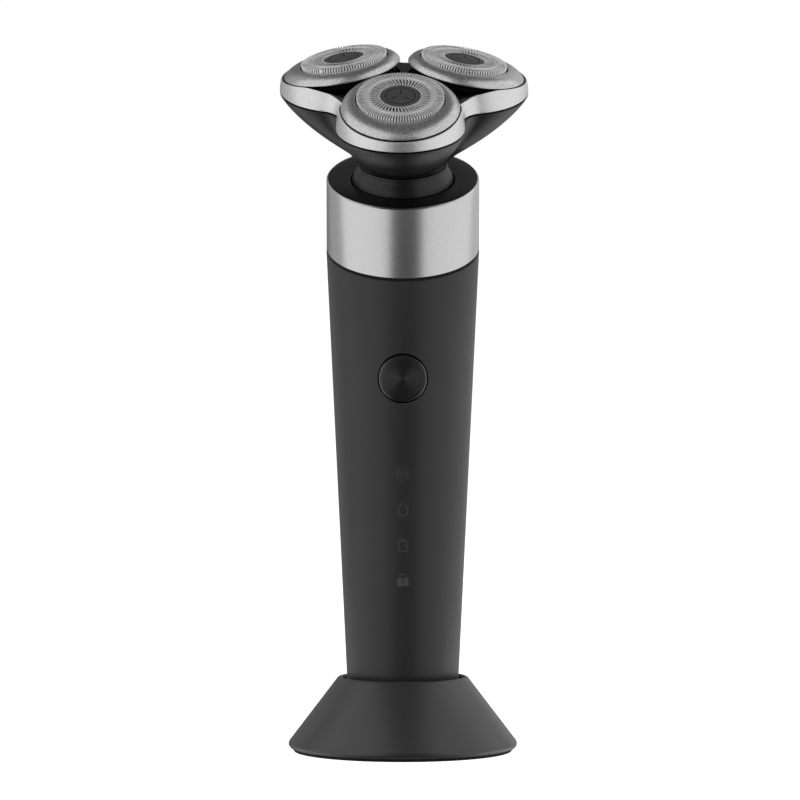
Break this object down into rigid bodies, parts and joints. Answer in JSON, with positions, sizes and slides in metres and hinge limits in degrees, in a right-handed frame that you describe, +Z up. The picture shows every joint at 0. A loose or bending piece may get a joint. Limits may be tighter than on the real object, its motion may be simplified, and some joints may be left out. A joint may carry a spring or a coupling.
{
  "type": "rotary electric shaver",
  "caption": "Rotary electric shaver: round tapered handle with a front button, oblique silver collar, tilting three-lobed head with floating round cutters, standing in a cone-shaped stand.",
  "frame": {"origin": "centre of the stand's foot pad, on the surface that it rests on", "axes": "+Z up along the handle, -Y to the front where the button is and the head leans, +X to the shaver's right as seen from the front"},
  "size_m": [0.0618, 0.067, 0.1763],
  "materials": {
    "soft_touch": "soft-touch coating, very fine grain",
    "stand_plastic": "fine matte moulding",
    "dark_plastic": "satin moulding",
    "black_plastic": "smooth, half gloss",
    "inner_plastic": "plain moulding",
    "satin_metal": "satin silver, very fine grain",
    "grain_metal": "silver coating with a sparkle grain",
    "dish_metal": "silver coating with a sparkle grain",
    "guard_steel": "polished steel, concentric grain",
    "steel": "plain steel",
    "spun_black": "near-black, spun grain, bright chamfer",
    "brass": "cut brass",
    "board": "circuit board",
    "cell_wrap": "shrink wrap",
    "rubber": "matte rubber",
    "nylon": "natural nylon"
  },
  "bodies": {
    "stand": {"stand_shell": "stand_plastic", "stand_ballast": "steel", "stand_base_plate": "dark_plastic", "stand_foot_pad": "rubber"},
    "handle": {"handle_shell": "soft_touch", "bottom_cap": "dark_plastic", "charging_socket": "steel", "charge_board": "board", "collar_gasket": "rubber", "collar_core": "inner_plastic", "collar_ring": "satin_metal", "top_plate": "black_plastic", "inner_frame": "inner_plastic", "battery_cell": "cell_wrap", "main_board": "board", "icon_light_guide": "nylon", "tact_switch": "black_plastic", "button_guide": "dark_plastic", "motor_can": "steel", "motor_end_cap": "black_plastic", "motor_mount": "inner_plastic", "motor_screw_1": "steel", "motor_screw_2": "steel", "drive_seal": "rubber", "neck_mount": "inner_plastic"},
    "power_button": {"button_cap": "spun_black"},
    "motor_drive": {"motor_rotor": "steel", "drive_coupler": "steel"},
    "gimbal": {"gimbal_ring": "steel"},
    "neck": {"head_socket": "inner_plastic", "neck_skirt": "dark_plastic"},
    "head": {"head_lower_housing": "dark_plastic", "trim_band": "grain_metal", "head_latch": "nylon", "gear_plate": "inner_plastic", "head_deck": "dark_plastic"},
    "centre_gear": {"centre_gear": "brass"},
    "cutter_gear_1": {"cutter_gear_1": "nylon", "pin_spring_1": "steel"},
    "shaving_dish_1": {"dish_1": "dish_metal", "guard_1": "guard_steel", "centre_cap_1": "dark_plastic", "retainer_1": "nylon"},
    "cutter_1": {"cutter_1": "steel"},
    "cutter_gear_2": {"cutter_gear_2": "nylon", "pin_spring_2": "steel"},
    "shaving_dish_2": {"dish_2": "dish_metal", "guard_2": "guard_steel", "centre_cap_2": "dark_plastic", "retainer_2": "nylon"},
    "cutter_2": {"cutter_2": "steel"},
    "cutter_gear_3": {"cutter_gear_3": "nylon", "pin_spring_3": "steel"},
    "shaving_dish_3": {"dish_3": "dish_metal", "guard_3": "guard_steel", "centre_cap_3": "dark_plastic", "retainer_3": "nylon"},
    "cutter_3": {"cutter_3": "steel"}
  },
  "joints": [
    {"name": "lift_from_stand", "type": "slide", "parent": "stand", "child": "handle", "axis": [0, 0, 1], "range_m": [0, 0.03]},
    {"name": "button_press", "type": "slide", "parent": "handle", "child": "power_button", "axis": [0, 1, 0], "range_m": [0, 0.0006], "stiffness_N_per_m": 1500},
    {"name": "motor_spin", "type": "hinge", "parent": "handle", "child": "motor_drive", "pos_m": [0, 0, 0.113], "axis": [0, 0, 1], "continuous": true},
    {"name": "head_pitch", "type": "hinge", "parent": "handle", "child": "gimbal", "pos_m": [0, 0, 0.143], "axis": [1, 0, 0], "range_deg": [-4, 4], "stiffness_Nm_per_rad": 1.2},
    {"name": "head_roll", "type": "hinge", "parent": "gimbal", "child": "neck", "pos_m": [0, 0, 0.143], "axis": [0, 0.9317, 0.3633], "range_deg": [-4, 4], "stiffness_Nm_per_rad": 1.2},
    {"name": "head_pull_off", "type": "slide", "parent": "neck", "child": "head", "axis": [0, -0.3633, 0.9317], "range_m": [0, 0.02]},
    {"name": "centre_gear_spin", "type": "hinge", "parent": "head", "child": "centre_gear", "pos_m": [0, -0.00654, 0.15977], "axis": [0, -0.3633, 0.9317], "continuous": true},
    {"name": "cutter_gear_1_spin", "type": "hinge", "parent": "head", "child": "cutter_gear_1", "pos_m": [-0.00056, -0.02158, 0.15391], "axis": [0, -0.3633, 0.9317], "continuous": true},
    {"name": "dish_1_tilt", "type": "hinge", "parent": "head", "child": "shaving_dish_1", "pos_m": [-0.00056, -0.02322, 0.15811], "axis": [0.9994, -0.0325, -0.0127], "range_deg": [-3, 1], "stiffness_Nm_per_rad": 0.15},
    {"name": "cutter_1_spin", "type": "hinge", "parent": "shaving_dish_1", "child": "cutter_1", "pos_m": [-0.00056, -0.02322, 0.15811], "axis": [-0.0068, -0.5387, 0.8425], "continuous": true},
    {"name": "cutter_gear_2_spin", "type": "hinge", "parent": "head", "child": "cutter_gear_2", "pos_m": [0.01426, 0.00053, 0.16253], "axis": [0, -0.3633, 0.9317], "continuous": true},
    {"name": "dish_2_tilt", "type": "hinge", "parent": "head", "child": "shaving_dish_2", "pos_m": [0.01426, -0.00111, 0.16673], "axis": [-0.4695, 0.8226, 0.3207], "range_deg": [-3, 1], "stiffness_Nm_per_rad": 0.15},
    {"name": "cutter_2_spin", "type": "hinge", "parent": "shaving_dish_2", "child": "cutter_2", "pos_m": [0.01426, -0.00111, 0.16673], "axis": [0.173, -0.2705, 0.947], "continuous": true},
    {"name": "cutter_gear_3_spin", "type": "hinge", "parent": "head", "child": "cutter_gear_3", "pos_m": [-0.0137, 0.00144, 0.16288], "axis": [0, -0.3633, 0.9317], "continuous": true},
    {"name": "dish_3_tilt", "type": "hinge", "parent": "head", "child": "shaving_dish_3", "pos_m": [-0.0137, -0.0002, 0.16709], "axis": [-0.5299, -0.7901, -0.3081], "range_deg": [-3, 1], "stiffness_Nm_per_rad": 0.15},
    {"name": "cutter_3_spin", "type": "hinge", "parent": "shaving_dish_3", "child": "cutter_3", "pos_m": [-0.0137, -0.0002, 0.16709], "axis": [-0.1662, -0.2595, 0.9513], "continuous": true}
  ],
  "couplings": [
    {"joint": "centre_gear_spin", "follows": "motor_spin", "ratio": 1},
    {"joint": "cutter_gear_1_spin", "follows": "motor_spin", "ratio": -0.8},
    {"joint": "cutter_1_spin", "follows": "motor_spin", "ratio": -0.8},
    {"joint": "cutter_gear_2_spin", "follows": "motor_spin", "ratio": -0.8},
    {"joint": "cutter_2_spin", "follows": "motor_spin", "ratio": -0.8},
    {"joint": "cutter_gear_3_spin", "follows": "motor_spin", "ratio": -0.8},
    {"joint": "cutter_3_spin", "follows": "motor_spin", "ratio": -0.8}
  ]
}
